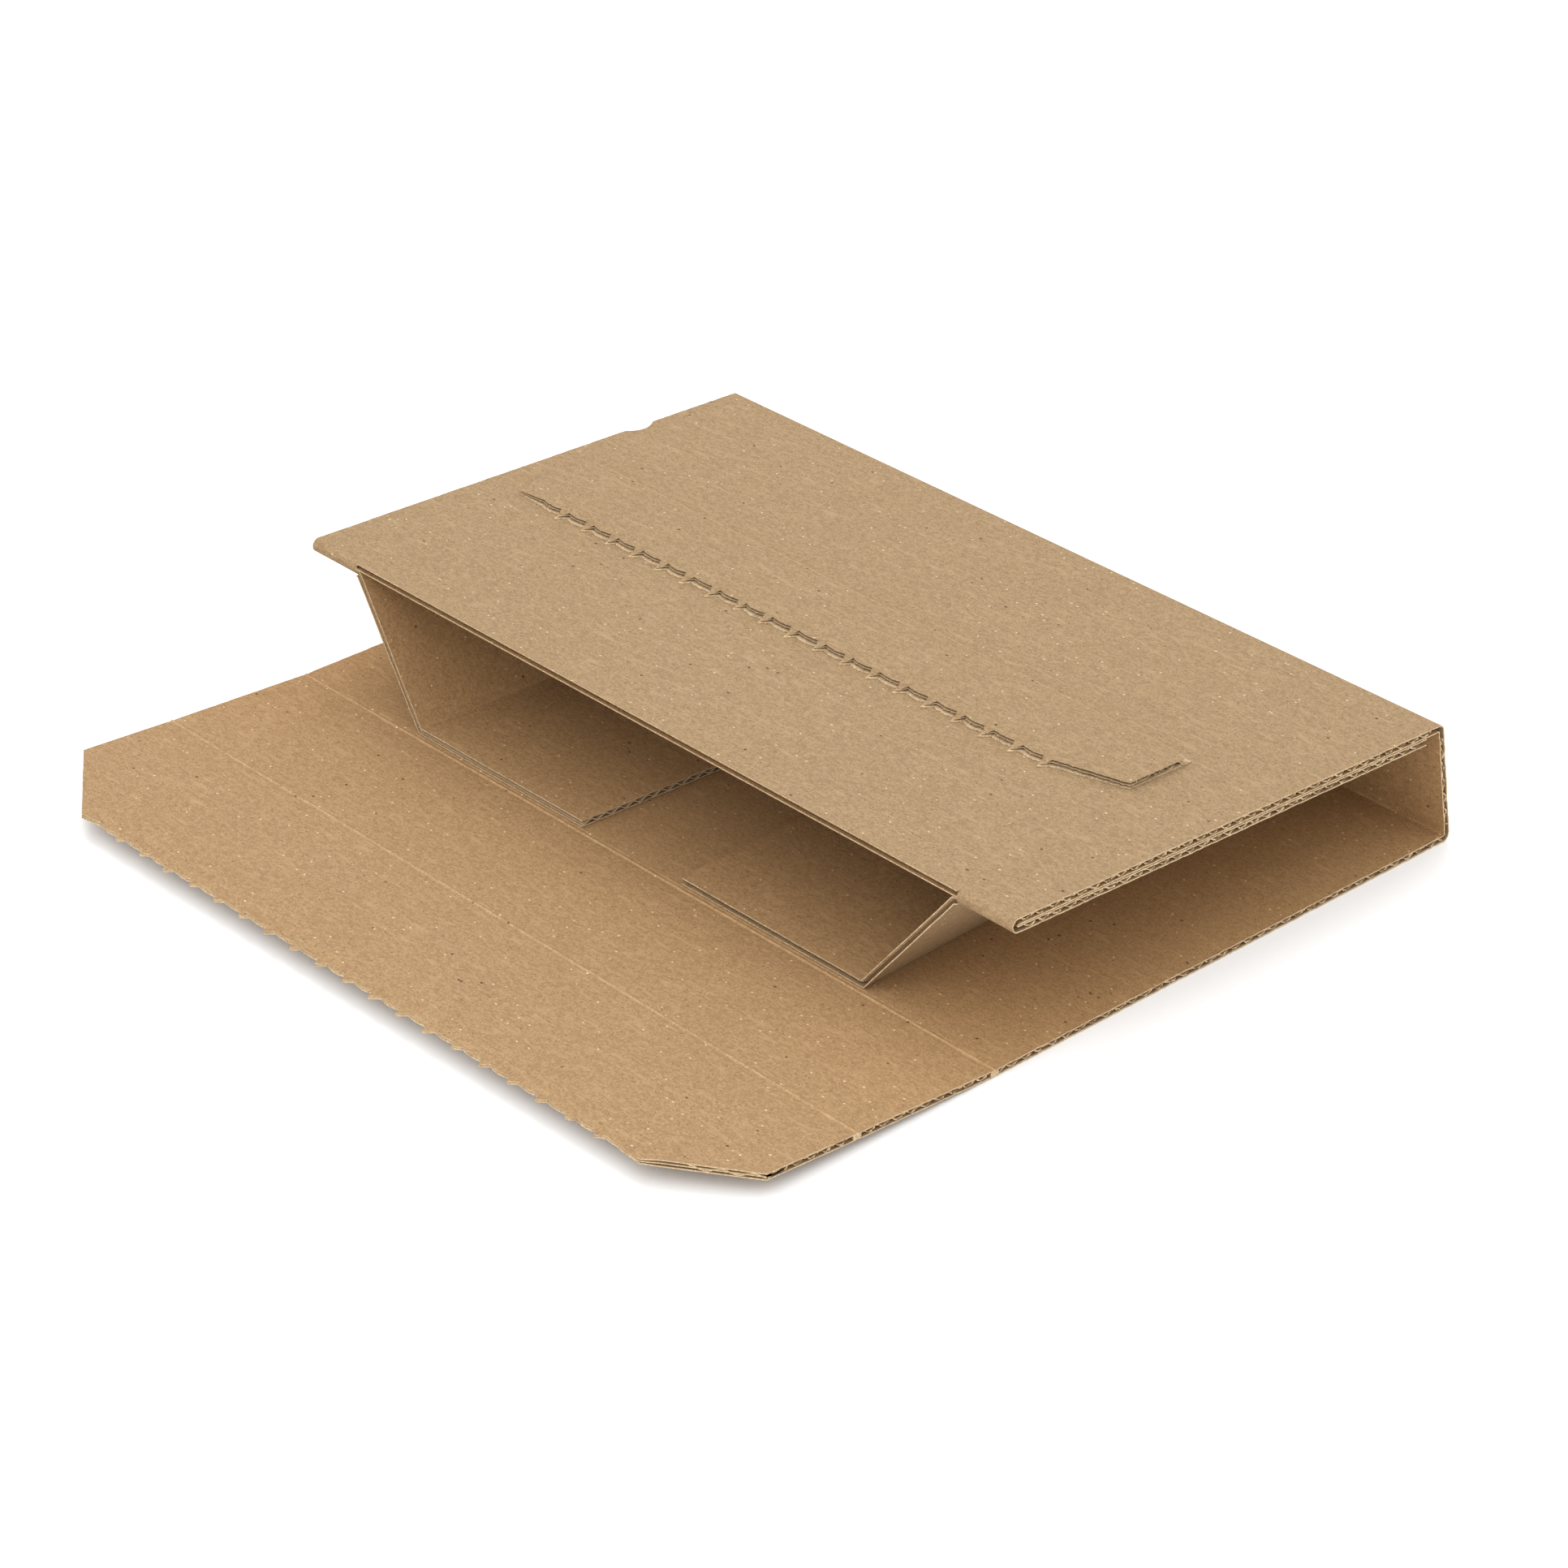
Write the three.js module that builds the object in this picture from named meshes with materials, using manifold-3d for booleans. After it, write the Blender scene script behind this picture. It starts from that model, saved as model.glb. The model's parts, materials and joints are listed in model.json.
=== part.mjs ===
// Wraparound mailer of single-wall corrugated board, standing open with its tear strip gone.
// Millimetres, +Z up. X runs across the creases, from the closing flap to the back wall.
// Y runs along the creases and the flutes. The origin is the middle of the base panel's
// underside, so the closing wall and its flap lie on the -X side of the base.

import * as THREE from 'three';
import { mergeVertices } from 'three/addons/utils/BufferGeometryUtils.js';
import Module from 'manifold-3d';

// Board: two liners with a wave of fluting between them
const boardThickness = 2.7;
const linerThickness = 0.4;
const flutingThickness = 0.35;
const flutePitch = 6.35;
const creaseCrush = 3.4; // length beside a crease where the flutes are pressed flat
const creaseRadius = 2.4; // outer radius of a right-angle fold
const layerGap = 0.3; // between two layers of board that lie on each other
const creaseGap = 0.3; // around the bead of a crease that still folds

// Sleeve: base, back wall and top
const boardWidth = 369;
const baseDepth = 228; // crease of the closing wall to the back wall's outer face
const backHeight = 49.9;
const backLean = 8.3; // how far the back wall's head leans over the base
const frontHeight = 57.4; // outer face of the top at its front edge
const frontReach = 221.5; // back wall's foot to the top's front edge, level
const notchPlace = 53.5; // along X, in the +Y end of the top
const notchLength = 15;
const notchDepth = 3.2;

// Inner layer: end strips folded back under the top, and the wings cut free between them
const endStripWidth = 27.5;
const endStripBackGap = 6; // to the back wall's inner face
const wingWallLength = 62; // flat length of a slanted pocket wall
const wingFloorLength = 92; // flat length of a wing's part that lies on the base
const wingBackGap = 5; // to the back wall's inner face, at the floor
const wingFootGap = 0.7; // to the closed position of the closing wall
const wingTuck = 5; // how far a wing's head reaches into its end strip
const wingTuckInset = 0.45; // below each face of the end strip

// Closing wall and closing flap
const closingWallHeight = 62.2; // crease to crease
const closingWallTilt = 3.1; // degrees above level, as it lies
const closingFlapTilt = 3.73; // degrees above level, as it lies
const flapDepthLeft = 68; // crease to torn edge at the +Y end
const flapDepthRight = 64.5; // the same at the -Y end
const flapTearLeft = 145.5; // Y where the torn edge begins
const flapTearRight = -152;
const flapSideDepth = 39.5; // crease to the chamfers, along the flap's sides
const tornEdgeTaper = 7; // length over which the perforation pressed the board down
const tornEdgeThickness = 1.5;

// Torn perforation: a short tip after each long bulging cut
const tearPitch = 14.2;
const tearTipDepth = 2.4;
const tearTipRun = 2.7; // length over which the edge runs out to a tip
const tearTipReturn = 1.0; // length over which it comes back
const tearBulge = 0.7;
const tearTipCount = 19;
const tearSpareParts = 3; // one of these parts of the spare length lies before the first tip

// Glued remainder of the closing flap, left on the top after the tear strip was pulled off
const stripNearEdge = -23; // X of its torn edge
const stripFarEdge = 17; // X of its pressed edge
const stripLeftEnd = 168;
const stripRightEnd = -147;
const stripLeftCorner = 9; // depth of the slanted corner beside its left end
const stripTearEnd = -116; // Y where the tips stop and the edge runs off at a slant
const stripSlant = 9; // how far that last run comes back in X
const stripCorner = 6.5; // cut corner at its far right
const stripTipCount = 19;
const stripPressedThickness = 0.9;
const stripPressedWidth = 8;

const kraftOutside = new THREE.MeshStandardMaterial({ color: 0xbc9e78, roughness: 0.92, metalness: 0 });
const kraftWall = new THREE.MeshStandardMaterial({ color: 0xb9966c, roughness: 0.92, metalness: 0 });
const kraftFlap = new THREE.MeshStandardMaterial({ color: 0xc4a27c, roughness: 0.92, metalness: 0 });
const kraftStrip = new THREE.MeshStandardMaterial({ color: 0xba9b77, roughness: 0.92, metalness: 0 });

const solids = await Module();
solids.setup();

// Places that several pieces share
const halfDepth = baseDepth / 2;
const halfWidth = boardWidth / 2;
const creaseY = halfWidth - endStripWidth;
const beadRadius = boardThickness / 2;
const backFoot = new THREE.Vector2(halfDepth, 0);
const backHead = new THREE.Vector2(halfDepth - backLean, backHeight);
const topFront = new THREE.Vector2(halfDepth - frontReach, frontHeight);
const topAlong = topFront.clone().sub(backHead).normalize();
const topInward = new THREE.Vector2(-topAlong.y, topAlong.x);
const topSlope = Math.atan2(topAlong.y, -topAlong.x); // how the top rises towards its front
const foldRadius = boardThickness + layerGap / 2; // outer radius of the front fold
const innerFaceDepth = 2 * boardThickness + layerGap; // top's outer face to the end strip's underside
const cutMargin = 10; // how far a cutting outline runs past the board

// A closed outline's mesh as a solid that can be joined and cut
function toSolid(geometry) {
  const bare = geometry.clone();
  bare.deleteAttribute('normal');
  bare.deleteAttribute('uv');
  const merged = mergeVertices(bare, 1e-5);
  return new solids.Manifold(new solids.Mesh({
    numProp: 3,
    vertProperties: Float32Array.from(merged.attributes.position.array),
    triVerts: Uint32Array.from(merged.index.array),
  }));
}

function toGeometry(solid) {
  const mesh = solid.getMesh();
  const geometry = new THREE.BufferGeometry();
  geometry.setAttribute('position', new THREE.BufferAttribute(mesh.vertProperties, 3));
  geometry.setIndex(new THREE.BufferAttribute(mesh.triVerts, 1));
  const flat = geometry.toNonIndexed();
  flat.computeVertexNormals();
  return flat;
}

// Outlines in X and Z, pulled along Y between two ends
function alongY(outlines, fromY, toY) {
  const shapes = outlines.map((outline) => new THREE.Shape(outline));
  const geometry = new THREE.ExtrudeGeometry(shapes, { depth: toY - fromY, bevelEnabled: false });
  geometry.rotateX(Math.PI / 2);
  geometry.translate(0, toY, 0);
  return toSolid(geometry);
}

// An outline in X and Y, pulled along Z: the die that cuts a panel
function alongZ(outline, fromZ, toZ) {
  const shape = new THREE.Shape(outline);
  const geometry = new THREE.ExtrudeGeometry(shape, { depth: toZ - fromZ, bevelEnabled: false });
  geometry.translate(0, 0, fromZ);
  return toSolid(geometry);
}

// The straight-sided body between two outlines with the same number of points
function between(firstOutline, lastOutline) {
  const count = firstOutline.length;
  const flat = firstOutline.map((point) => new THREE.Vector2(point.y, point.z));
  if (THREE.ShapeUtils.isClockWise(flat)) {
    return between(firstOutline.toReversed(), lastOutline.toReversed());
  }
  const caps = THREE.ShapeUtils.triangulateShape(flat, []);
  const triangles = [];
  for (const [a, b, c] of caps) {
    triangles.push([a, b, c], [count + a, count + c, count + b]);
  }
  for (let i = 0; i < count; i += 1) {
    const next = (i + 1) % count;
    triangles.push([i, count + i, next], [next, count + i, count + next]);
  }
  const points = firstOutline.concat(lastOutline);
  let volume = 0;
  for (const [a, b, c] of triangles) {
    volume += points[a].dot(points[b].clone().cross(points[c]));
  }
  const turned = volume < 0 ? triangles.map(([a, b, c]) => [a, c, b]) : triangles;
  const geometry = new THREE.BufferGeometry().setFromPoints(points);
  geometry.setIndex(turned.flat());
  return toSolid(geometry);
}

// Points on the arc that rounds a corner
function roundCorner(before, corner, after, radius, steps) {
  const toBefore = before.clone().sub(corner).normalize();
  const toAfter = after.clone().sub(corner).normalize();
  const halfAngle = toBefore.angleTo(toAfter) / 2;
  const middle = toBefore.clone().add(toAfter).normalize();
  const centre = corner.clone().addScaledVector(middle, radius / Math.sin(halfAngle));
  const start = corner.clone().addScaledVector(toBefore, radius / Math.tan(halfAngle));
  const sweep = Math.PI - 2 * halfAngle;
  const turn = toBefore.cross(toAfter) < 0 ? 1 : -1;
  return arcPoints(centre, start, turn * sweep, steps);
}

function arcPoints(centre, start, sweep, steps) {
  const points = [];
  for (let i = 0; i <= steps; i += 1) {
    points.push(start.clone().rotateAround(centre, (sweep * i) / steps));
  }
  return points;
}

// The corner of a fold's inner face: one board thickness from both outer faces
function innerCorner(before, corner, after) {
  const toBefore = before.clone().sub(corner).normalize();
  const toAfter = after.clone().sub(corner).normalize();
  const halfAngle = toBefore.angleTo(toAfter) / 2;
  const middle = toBefore.add(toAfter).normalize();
  return corner.clone().addScaledVector(middle, boardThickness / Math.sin(halfAngle));
}

// The hollows on both sides of the fluting, between two distances along a panel's outer face
function fluteCells(origin, along, inward, start, end) {
  const waveHeight = boardThickness - 2 * linerThickness - flutingThickness;
  // corners of one hollow, as shares of the pitch and of the wave's height
  const wavePlaces = [0.14, 0.86, 0.68, 0.5, 0.32];
  const waveDepths = [0, 0, 0.71, 1, 0.71];
  const count = Math.floor((end - start) / flutePitch - 0.5);
  const slack = (end - start - (count + 0.5) * flutePitch) / 2;
  const cells = [];
  for (let i = 0; i < count; i += 1) {
    for (const side of [0, 1]) {
      const cellStart = start + slack + (i + side / 2) * flutePitch;
      cells.push(wavePlaces.map((place, corner) => {
        const fromLiner = linerThickness + waveHeight * waveDepths[corner];
        const depth = side === 0 ? fromLiner : boardThickness - fromLiner;
        return origin.clone()
          .addScaledVector(along, cellStart + place * flutePitch)
          .addScaledVector(inward, depth);
      }));
    }
  }
  return cells;
}

// Sleeve

function topPoint(distance, depth) {
  return backHead.clone().addScaledVector(topAlong, distance).addScaledVector(topInward, depth);
}

// Height of the plane that lies a given depth under the top's outer face
function topHeightAt(x, depth) {
  const start = topPoint(0, depth);
  return start.y + (x - start.x) * (topAlong.y / topAlong.x);
}

const topLength = topFront.distanceTo(backHead);
const backAlong = backHead.clone().sub(backFoot).normalize();
const backInward = new THREE.Vector2(-backAlong.y, backAlong.x);
const backLength = backHead.distanceTo(backFoot);
const baseFront = new THREE.Vector2(-halfDepth + beadRadius + creaseGap, 0);
const footInner = innerCorner(baseFront, backFoot, backHead);
const headInner = innerCorner(backFoot, backHead, topFront);
const stripBackDistance = boardThickness + endStripBackGap; // along the top, from its head

function sleeveOutline(frontEnd) {
  return [
    new THREE.Vector2(baseFront.x, boardThickness),
    baseFront,
    ...roundCorner(baseFront, backFoot, backHead, creaseRadius, 4),
    ...roundCorner(backFoot, backHead, topFront, creaseRadius, 4),
    ...frontEnd,
    headInner,
    footInner,
  ];
}

// The hollows run through base, back wall and top from end to end
function sleeveHollows() {
  const baseAlong = new THREE.Vector2(1, 0);
  const baseInward = new THREE.Vector2(0, 1);
  const baseLength = backFoot.x - baseFront.x;
  const cells = [
    ...fluteCells(baseFront, baseAlong, baseInward, linerThickness, baseLength - creaseCrush),
    ...fluteCells(backFoot, backAlong, backInward, creaseCrush, backLength - creaseCrush),
    ...fluteCells(backHead, topAlong, topInward, creaseCrush, topLength - creaseCrush),
  ];
  return alongY(cells, -halfWidth - cutMargin, halfWidth + cutMargin);
}

function middleSection() {
  const cutEdge = [topPoint(topLength, 0), topPoint(topLength, boardThickness)];
  return alongY([sleeveOutline(cutEdge)], -creaseY, creaseY);
}

// At each end the board turns back under the top and runs on as the end strip
function endSection(fromY, toY) {
  const centre = topPoint(topLength - foldRadius, foldRadius);
  const outerStart = topPoint(topLength - foldRadius, 0);
  const innerStart = topPoint(topLength - foldRadius, innerFaceDepth - boardThickness);
  const fold = [
    ...arcPoints(centre, outerStart, Math.PI, 10),
    topPoint(stripBackDistance, innerFaceDepth),
    topPoint(stripBackDistance, innerFaceDepth - boardThickness),
    ...arcPoints(centre, innerStart, -Math.PI, 4),
  ];
  return alongY([sleeveOutline(fold)], fromY, toY);
}

function endStripHollows() {
  const origin = topPoint(topLength - foldRadius, innerFaceDepth);
  const along = topAlong.clone().negate();
  const inward = topInward.clone().negate();
  const length = topLength - foldRadius - stripBackDistance;
  const cells = fluteCells(origin, along, inward, linerThickness, length - linerThickness);
  return alongY(cells, -halfWidth - cutMargin, halfWidth + cutMargin);
}

// One wing's outline at a distance along X, on the +Y side: tucked head, slanted wall, floor
function wingOutline(headX, footX, side) {
  const headLow = topHeightAt(headX, innerFaceDepth) + wingTuckInset;
  const headHigh = topHeightAt(headX, innerFaceDepth - boardThickness) - wingTuckInset;
  const floorLow = boardThickness + layerGap;
  const floorHigh = floorLow + boardThickness;
  const rise = (headLow + headHigh - floorLow - floorHigh) / 2;
  const run = Math.sqrt(wingWallLength ** 2 - rise ** 2);
  const footY = creaseY - run;
  const halfLevel = (beadRadius * wingWallLength) / rise; // half the wall, measured level
  const middleAt = (z) => footY + ((z - (floorLow + floorHigh) / 2) * run) / rise;
  const endY = footY - wingFloorLength;
  const outline = [
    [creaseY + wingTuck, headLow],
    [middleAt(headLow) + halfLevel, headLow],
    [middleAt(floorLow) + halfLevel, floorLow],
    [endY, floorLow],
    [endY, floorHigh],
    [middleAt(floorHigh) - halfLevel, floorHigh],
    [middleAt(headHigh) - halfLevel, headHigh],
    [creaseY + wingTuck, headHigh],
  ];
  return outline.map(([y, z]) => {
    const drop = THREE.MathUtils.clamp((headHigh - z) / rise, 0, 1);
    return new THREE.Vector3(THREE.MathUtils.lerp(headX, footX, drop), side * y, z);
  });
}

function wing(side) {
  const closedWallFace = -halfDepth + beadRadius;
  const headFront = topPoint(topLength, innerFaceDepth).x + foldRadius;
  const footFront = closedWallFace + wingFootGap;
  const footBack = footInner.x - wingBackGap;
  const headBack = topPoint(stripBackDistance, innerFaceDepth).x - layerGap;
  return between(wingOutline(headFront, footFront, side), wingOutline(headBack, footBack, side));
}

// Shallow thumb notch in the +Y end of the top and of the strip under it
function thumbNotch() {
  const outline = [
    new THREE.Vector2(notchPlace - notchLength / 2 - cutMargin, halfWidth + cutMargin),
    new THREE.Vector2(notchPlace - notchLength / 2, halfWidth),
  ];
  const steps = 6;
  for (let i = 1; i < steps; i += 1) {
    const x = notchPlace + notchLength * (i / steps - 0.5);
    outline.push(new THREE.Vector2(x, halfWidth - notchDepth * Math.sin((Math.PI * i) / steps)));
  }
  outline.push(
    new THREE.Vector2(notchPlace + notchLength / 2, halfWidth),
    new THREE.Vector2(notchPlace + notchLength / 2 + cutMargin, halfWidth + cutMargin),
  );
  const underStrip = backHeight / 2; // clear of the base and of the end strip
  return alongZ(outline, underStrip, frontHeight + cutMargin);
}

function sleeveSolid() {
  return middleSection()
    .add(endSection(creaseY, halfWidth))
    .add(endSection(-halfWidth, -creaseY))
    .subtract(sleeveHollows())
    .subtract(endStripHollows())
    .add(wing(1))
    .add(wing(-1))
    .subtract(thumbNotch());
}

// Torn edges

// Points of a torn perforation from the +Y end to the -Y end, as pairs of Y and of the
// distance that the edge stands out beyond its nominal line
function tornEdge(fromY, tipCount) {
  const points = [];
  const cutLength = tearPitch - tearTipRun - tearTipReturn;
  for (let i = 0; i < tipCount; i += 1) {
    const start = fromY - i * tearPitch;
    for (const share of [0, 0.25, 0.5, 0.75, 1]) {
      points.push([start - cutLength * share, tearBulge * Math.sin(Math.PI * share)]);
    }
    points.push([start - cutLength - tearTipRun, tearTipDepth]);
  }
  return points;
}

// Hinged panels lie along -X from their crease, which is on the Y axis through the origin

function hingedOutline(length, freeEnd) {
  const bead = [];
  const steps = 8;
  for (let i = 0; i <= steps; i += 1) {
    const angle = -Math.PI / 2 + (Math.PI * i) / steps;
    bead.push(new THREE.Vector2(beadRadius * Math.cos(angle), beadRadius * Math.sin(angle)));
  }
  return [...bead, ...freeEnd.map(([x, z]) => new THREE.Vector2(-length + x, z))];
}

function hingedHollows(length) {
  const origin = new THREE.Vector2(0, -beadRadius);
  const along = new THREE.Vector2(-1, 0);
  const inward = new THREE.Vector2(0, 1);
  const cells = fluteCells(origin, along, inward, beadRadius, length);
  return alongY(cells, -halfWidth - cutMargin, halfWidth + cutMargin);
}

function closingWallSolid() {
  const length = closingWallHeight - beadRadius - creaseGap;
  const freeEnd = [[0, beadRadius], [0, -beadRadius]];
  const board = alongY([hingedOutline(length, freeEnd)], -halfWidth, halfWidth);
  return board.subtract(hingedHollows(length - linerThickness));
}

function flapDie() {
  const depthAt = (y) => THREE.MathUtils.mapLinear(
    y, flapTearRight, flapTearLeft, flapDepthRight, flapDepthLeft,
  );
  const chamferSlope = (side, tearY) => (depthAt(tearY) - flapSideDepth) / (side * halfWidth - tearY);
  const outside = halfWidth + cutMargin;
  const sideReach = (side, tearY) => depthAt(tearY)
    - chamferSlope(side, tearY) * (side * outside - tearY);
  const spareLength = flapTearLeft - flapTearRight - tearTipCount * tearPitch;
  const firstCut = flapTearLeft - spareLength / tearSpareParts;
  const edge = tornEdge(firstCut, tearTipCount)
    .map(([y, out]) => new THREE.Vector2(-(depthAt(y) + out - tearTipDepth / 2), y));
  return alongZ([
    new THREE.Vector2(cutMargin, outside),
    new THREE.Vector2(-sideReach(1, flapTearLeft), outside),
    new THREE.Vector2(-depthAt(flapTearLeft), flapTearLeft),
    ...edge,
    new THREE.Vector2(-depthAt(flapTearRight), flapTearRight),
    new THREE.Vector2(-sideReach(-1, flapTearRight), -outside),
    new THREE.Vector2(cutMargin, -outside),
  ], -cutMargin, cutMargin);
}

// The perforation pressed the board down towards its underside
function closingFlapSolid() {
  const length = Math.max(flapDepthLeft, flapDepthRight) + tearTipDepth;
  const taperStart = tornEdgeTaper + Math.abs(flapDepthLeft - flapDepthRight);
  const freeEnd = [
    [taperStart, beadRadius],
    [0, tornEdgeThickness - beadRadius],
    [0, -beadRadius],
  ];
  const board = alongY([hingedOutline(length, freeEnd)], -halfWidth, halfWidth);
  return board.subtract(hingedHollows(length - taperStart)).intersect(flapDie());
}

// Glued strip, drawn lying level with its underside at Z = 0

function stripDie() {
  const tipsLength = stripTipCount * tearPitch;
  const edge = tornEdge(stripTearEnd + tipsLength, stripTipCount)
    .map(([y, out]) => new THREE.Vector2(stripNearEdge - out, y));
  return alongZ([
    new THREE.Vector2(stripFarEdge, stripLeftEnd - stripCorner),
    new THREE.Vector2(stripFarEdge - stripCorner, stripLeftEnd),
    new THREE.Vector2(stripNearEdge + stripLeftCorner, stripLeftEnd),
    new THREE.Vector2(stripNearEdge, stripLeftEnd - stripLeftCorner / 2),
    ...edge,
    new THREE.Vector2(stripNearEdge + stripSlant, stripRightEnd),
    new THREE.Vector2(stripFarEdge - stripCorner, stripRightEnd),
    new THREE.Vector2(stripFarEdge, stripRightEnd + stripCorner),
  ], -cutMargin, cutMargin);
}

function stripSolid() {
  const nearEnd = stripNearEdge - cutMargin;
  const farEnd = stripFarEdge + cutMargin;
  const pressedStart = stripFarEdge - stripPressedWidth;
  const outline = [
    new THREE.Vector2(nearEnd, 0),
    new THREE.Vector2(farEnd, 0),
    new THREE.Vector2(farEnd, stripPressedThickness),
    new THREE.Vector2(stripFarEdge, stripPressedThickness),
    new THREE.Vector2(pressedStart, boardThickness),
    new THREE.Vector2(nearEnd, boardThickness),
  ];
  const origin = new THREE.Vector2(nearEnd, 0);
  const along = new THREE.Vector2(1, 0);
  const inward = new THREE.Vector2(0, 1);
  const cells = fluteCells(origin, along, inward, linerThickness, pressedStart - nearEnd);
  const board = alongY([outline], -halfWidth, halfWidth);
  const hollows = alongY(cells, -halfWidth - cutMargin, halfWidth + cutMargin);
  return board.subtract(hollows).intersect(stripDie());
}

// Assembly

function piece(name, solid, material) {
  const mesh = new THREE.Mesh(toGeometry(solid), material);
  mesh.name = name;
  return mesh;
}

const mailer = new THREE.Group();

const sleeve = piece('mailer_sleeve', sleeveSolid(), kraftOutside);
mailer.add(sleeve);

const sealedStrip = piece('sealed_strip', stripSolid(), kraftStrip);
const stripSeat = new THREE.Group();
stripSeat.position.set(0, 0, topHeightAt(0, -layerGap));
stripSeat.rotation.y = topSlope;
stripSeat.add(sealedStrip);
mailer.add(stripSeat);

const wallHinge = new THREE.Group();
wallHinge.position.set(-halfDepth, 0, beadRadius);
wallHinge.rotation.y = THREE.MathUtils.degToRad(closingWallTilt);
wallHinge.add(piece('closing_wall', closingWallSolid(), kraftWall));
mailer.add(wallHinge);

const flapHinge = new THREE.Group();
flapHinge.position.set(-closingWallHeight, 0, 0);
flapHinge.rotation.y = THREE.MathUtils.degToRad(closingFlapTilt - closingWallTilt);
flapHinge.add(piece('closing_flap', closingFlapSolid(), kraftFlap));
wallHinge.add(flapHinge);

export default mailer;
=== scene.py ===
import json
import math
import random

import bmesh
import bpy
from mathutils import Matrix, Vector


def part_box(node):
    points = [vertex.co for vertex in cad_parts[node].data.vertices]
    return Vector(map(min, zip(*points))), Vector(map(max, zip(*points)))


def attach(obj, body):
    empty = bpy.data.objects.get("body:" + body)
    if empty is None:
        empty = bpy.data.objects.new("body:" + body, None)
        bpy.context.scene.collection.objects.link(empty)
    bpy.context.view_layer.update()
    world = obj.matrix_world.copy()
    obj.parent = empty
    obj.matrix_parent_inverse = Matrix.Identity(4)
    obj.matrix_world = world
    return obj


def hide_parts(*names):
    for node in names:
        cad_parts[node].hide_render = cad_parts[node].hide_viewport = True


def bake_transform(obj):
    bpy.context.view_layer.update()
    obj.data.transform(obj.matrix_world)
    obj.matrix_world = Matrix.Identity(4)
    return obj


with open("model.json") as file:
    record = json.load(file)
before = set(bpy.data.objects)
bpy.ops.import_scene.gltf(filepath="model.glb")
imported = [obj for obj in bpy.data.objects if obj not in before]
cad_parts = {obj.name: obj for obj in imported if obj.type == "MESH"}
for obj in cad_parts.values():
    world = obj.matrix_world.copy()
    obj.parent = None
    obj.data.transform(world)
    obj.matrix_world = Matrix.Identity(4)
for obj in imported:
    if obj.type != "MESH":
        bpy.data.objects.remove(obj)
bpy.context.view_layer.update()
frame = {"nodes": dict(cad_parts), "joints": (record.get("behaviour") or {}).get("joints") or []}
print("frame loaded:", sorted(frame["nodes"]))

# Board, shared by all panels. Metres and degrees throughout.
board = {
    "thickness": 0.0027,
    "liner": 0.00046,
    "fluting": 0.00042,
    "pitch": 0.00635,
    "layerGap": 0.0003,
    "rag": 0.00022,  # how far a cut edge wanders
    "pointEvery": 0.0018,  # spacing of the points along a cut edge
    "endBand": 0.0009,  # a cut this near to each end keeps its wander there
    "midCut": 0.06,  # and cuts this far from the middle
    "crush": 0.0034,  # flutes pressed flat beside a crease
    "creaseHalf": 0.0018,  # half the width of a crease that still folds
    "fluteBand": 0.0012,
    "fluteFray": (0.0003, 0.0007, 0.00022),  # how far a flute's cut end wanders in X, Y and Z
}


# Modelling steps


def deselectAll():
    if bpy.context.object and bpy.context.object.mode != "OBJECT":
        bpy.ops.object.mode_set(mode="OBJECT")
    bpy.ops.object.select_all(action="DESELECT")


def activate(piece):
    deselectAll()
    piece.select_set(True)
    bpy.context.view_layer.objects.active = piece


def pick(piece, test):
    # edit mode: selects the points whose place passes the test
    mesh = bmesh.from_edit_mesh(piece.data)
    for point in mesh.verts:
        point.select = bool(test(point.co))
    mesh.select_flush_mode()
    bmesh.update_edit_mesh(piece.data)


def pickFaces(piece, test):
    # edit mode: selects the faces whose middle passes the test
    bpy.ops.mesh.select_mode(type="FACE")
    mesh = bmesh.from_edit_mesh(piece.data)
    for face in mesh.faces:
        face.select_set(bool(test(face.calc_center_median())))
    bmesh.update_edit_mesh(piece.data)


def newPiece(name, corners):
    # a piece that is only one point or one edge so far, left in edit mode and selected
    deselectAll()
    bpy.ops.mesh.primitive_plane_add(size=2)
    piece = bpy.context.object
    piece.name = name
    piece.data.name = name
    bpy.ops.object.mode_set(mode="EDIT")
    bpy.ops.mesh.select_mode(type="VERT")
    if len(corners) == 1:
        pick(piece, lambda place: place.x > 0 or place.y > 0)
    else:
        pick(piece, lambda place: place.x > 0)
    bpy.ops.mesh.delete(type="VERT")
    mesh = bmesh.from_edit_mesh(piece.data)
    for point, corner in zip(sorted(mesh.verts, key=lambda p: p.co.y), corners):
        point.co = corner
    bmesh.update_edit_mesh(piece.data)
    bpy.ops.mesh.select_all(action="SELECT")
    return piece


def extrudeAlong(places):
    # the selected edges follow a line of places
    for before, after in zip(places, places[1:]):
        bpy.ops.mesh.extrude_region_move(TRANSFORM_OT_translate={"value": after - before})


def drawLine(places):
    # the selected point draws a line through places
    for before, after in zip(places, places[1:]):
        bpy.ops.mesh.extrude_vertices_move(TRANSFORM_OT_translate={"value": after - before})


def cutAcross(piece, place, normal, clear=False):
    bpy.ops.mesh.select_all(action="SELECT")
    bpy.ops.mesh.bisect(plane_co=place, plane_no=normal, clear_outer=clear, threshold=1e-6)


def giveMaterials(piece, materials):
    piece.data.materials.clear()
    for material in materials:
        piece.data.materials.append(material)


def finishSheet(piece, thickness, materials, even=True):
    # paper of a given thickness, with its cut edges in the second material
    bpy.ops.object.mode_set(mode="EDIT")
    bpy.ops.mesh.select_all(action="SELECT")
    bpy.ops.mesh.normals_make_consistent(inside=False)
    bpy.ops.object.mode_set(mode="OBJECT")
    giveMaterials(piece, materials)
    solidify = piece.modifiers.new("paper", "SOLIDIFY")
    solidify.thickness = thickness
    solidify.offset = 0
    solidify.use_even_offset = even
    solidify.use_rim = True
    solidify.material_offset_rim = 1
    applyModifiers(piece)


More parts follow.
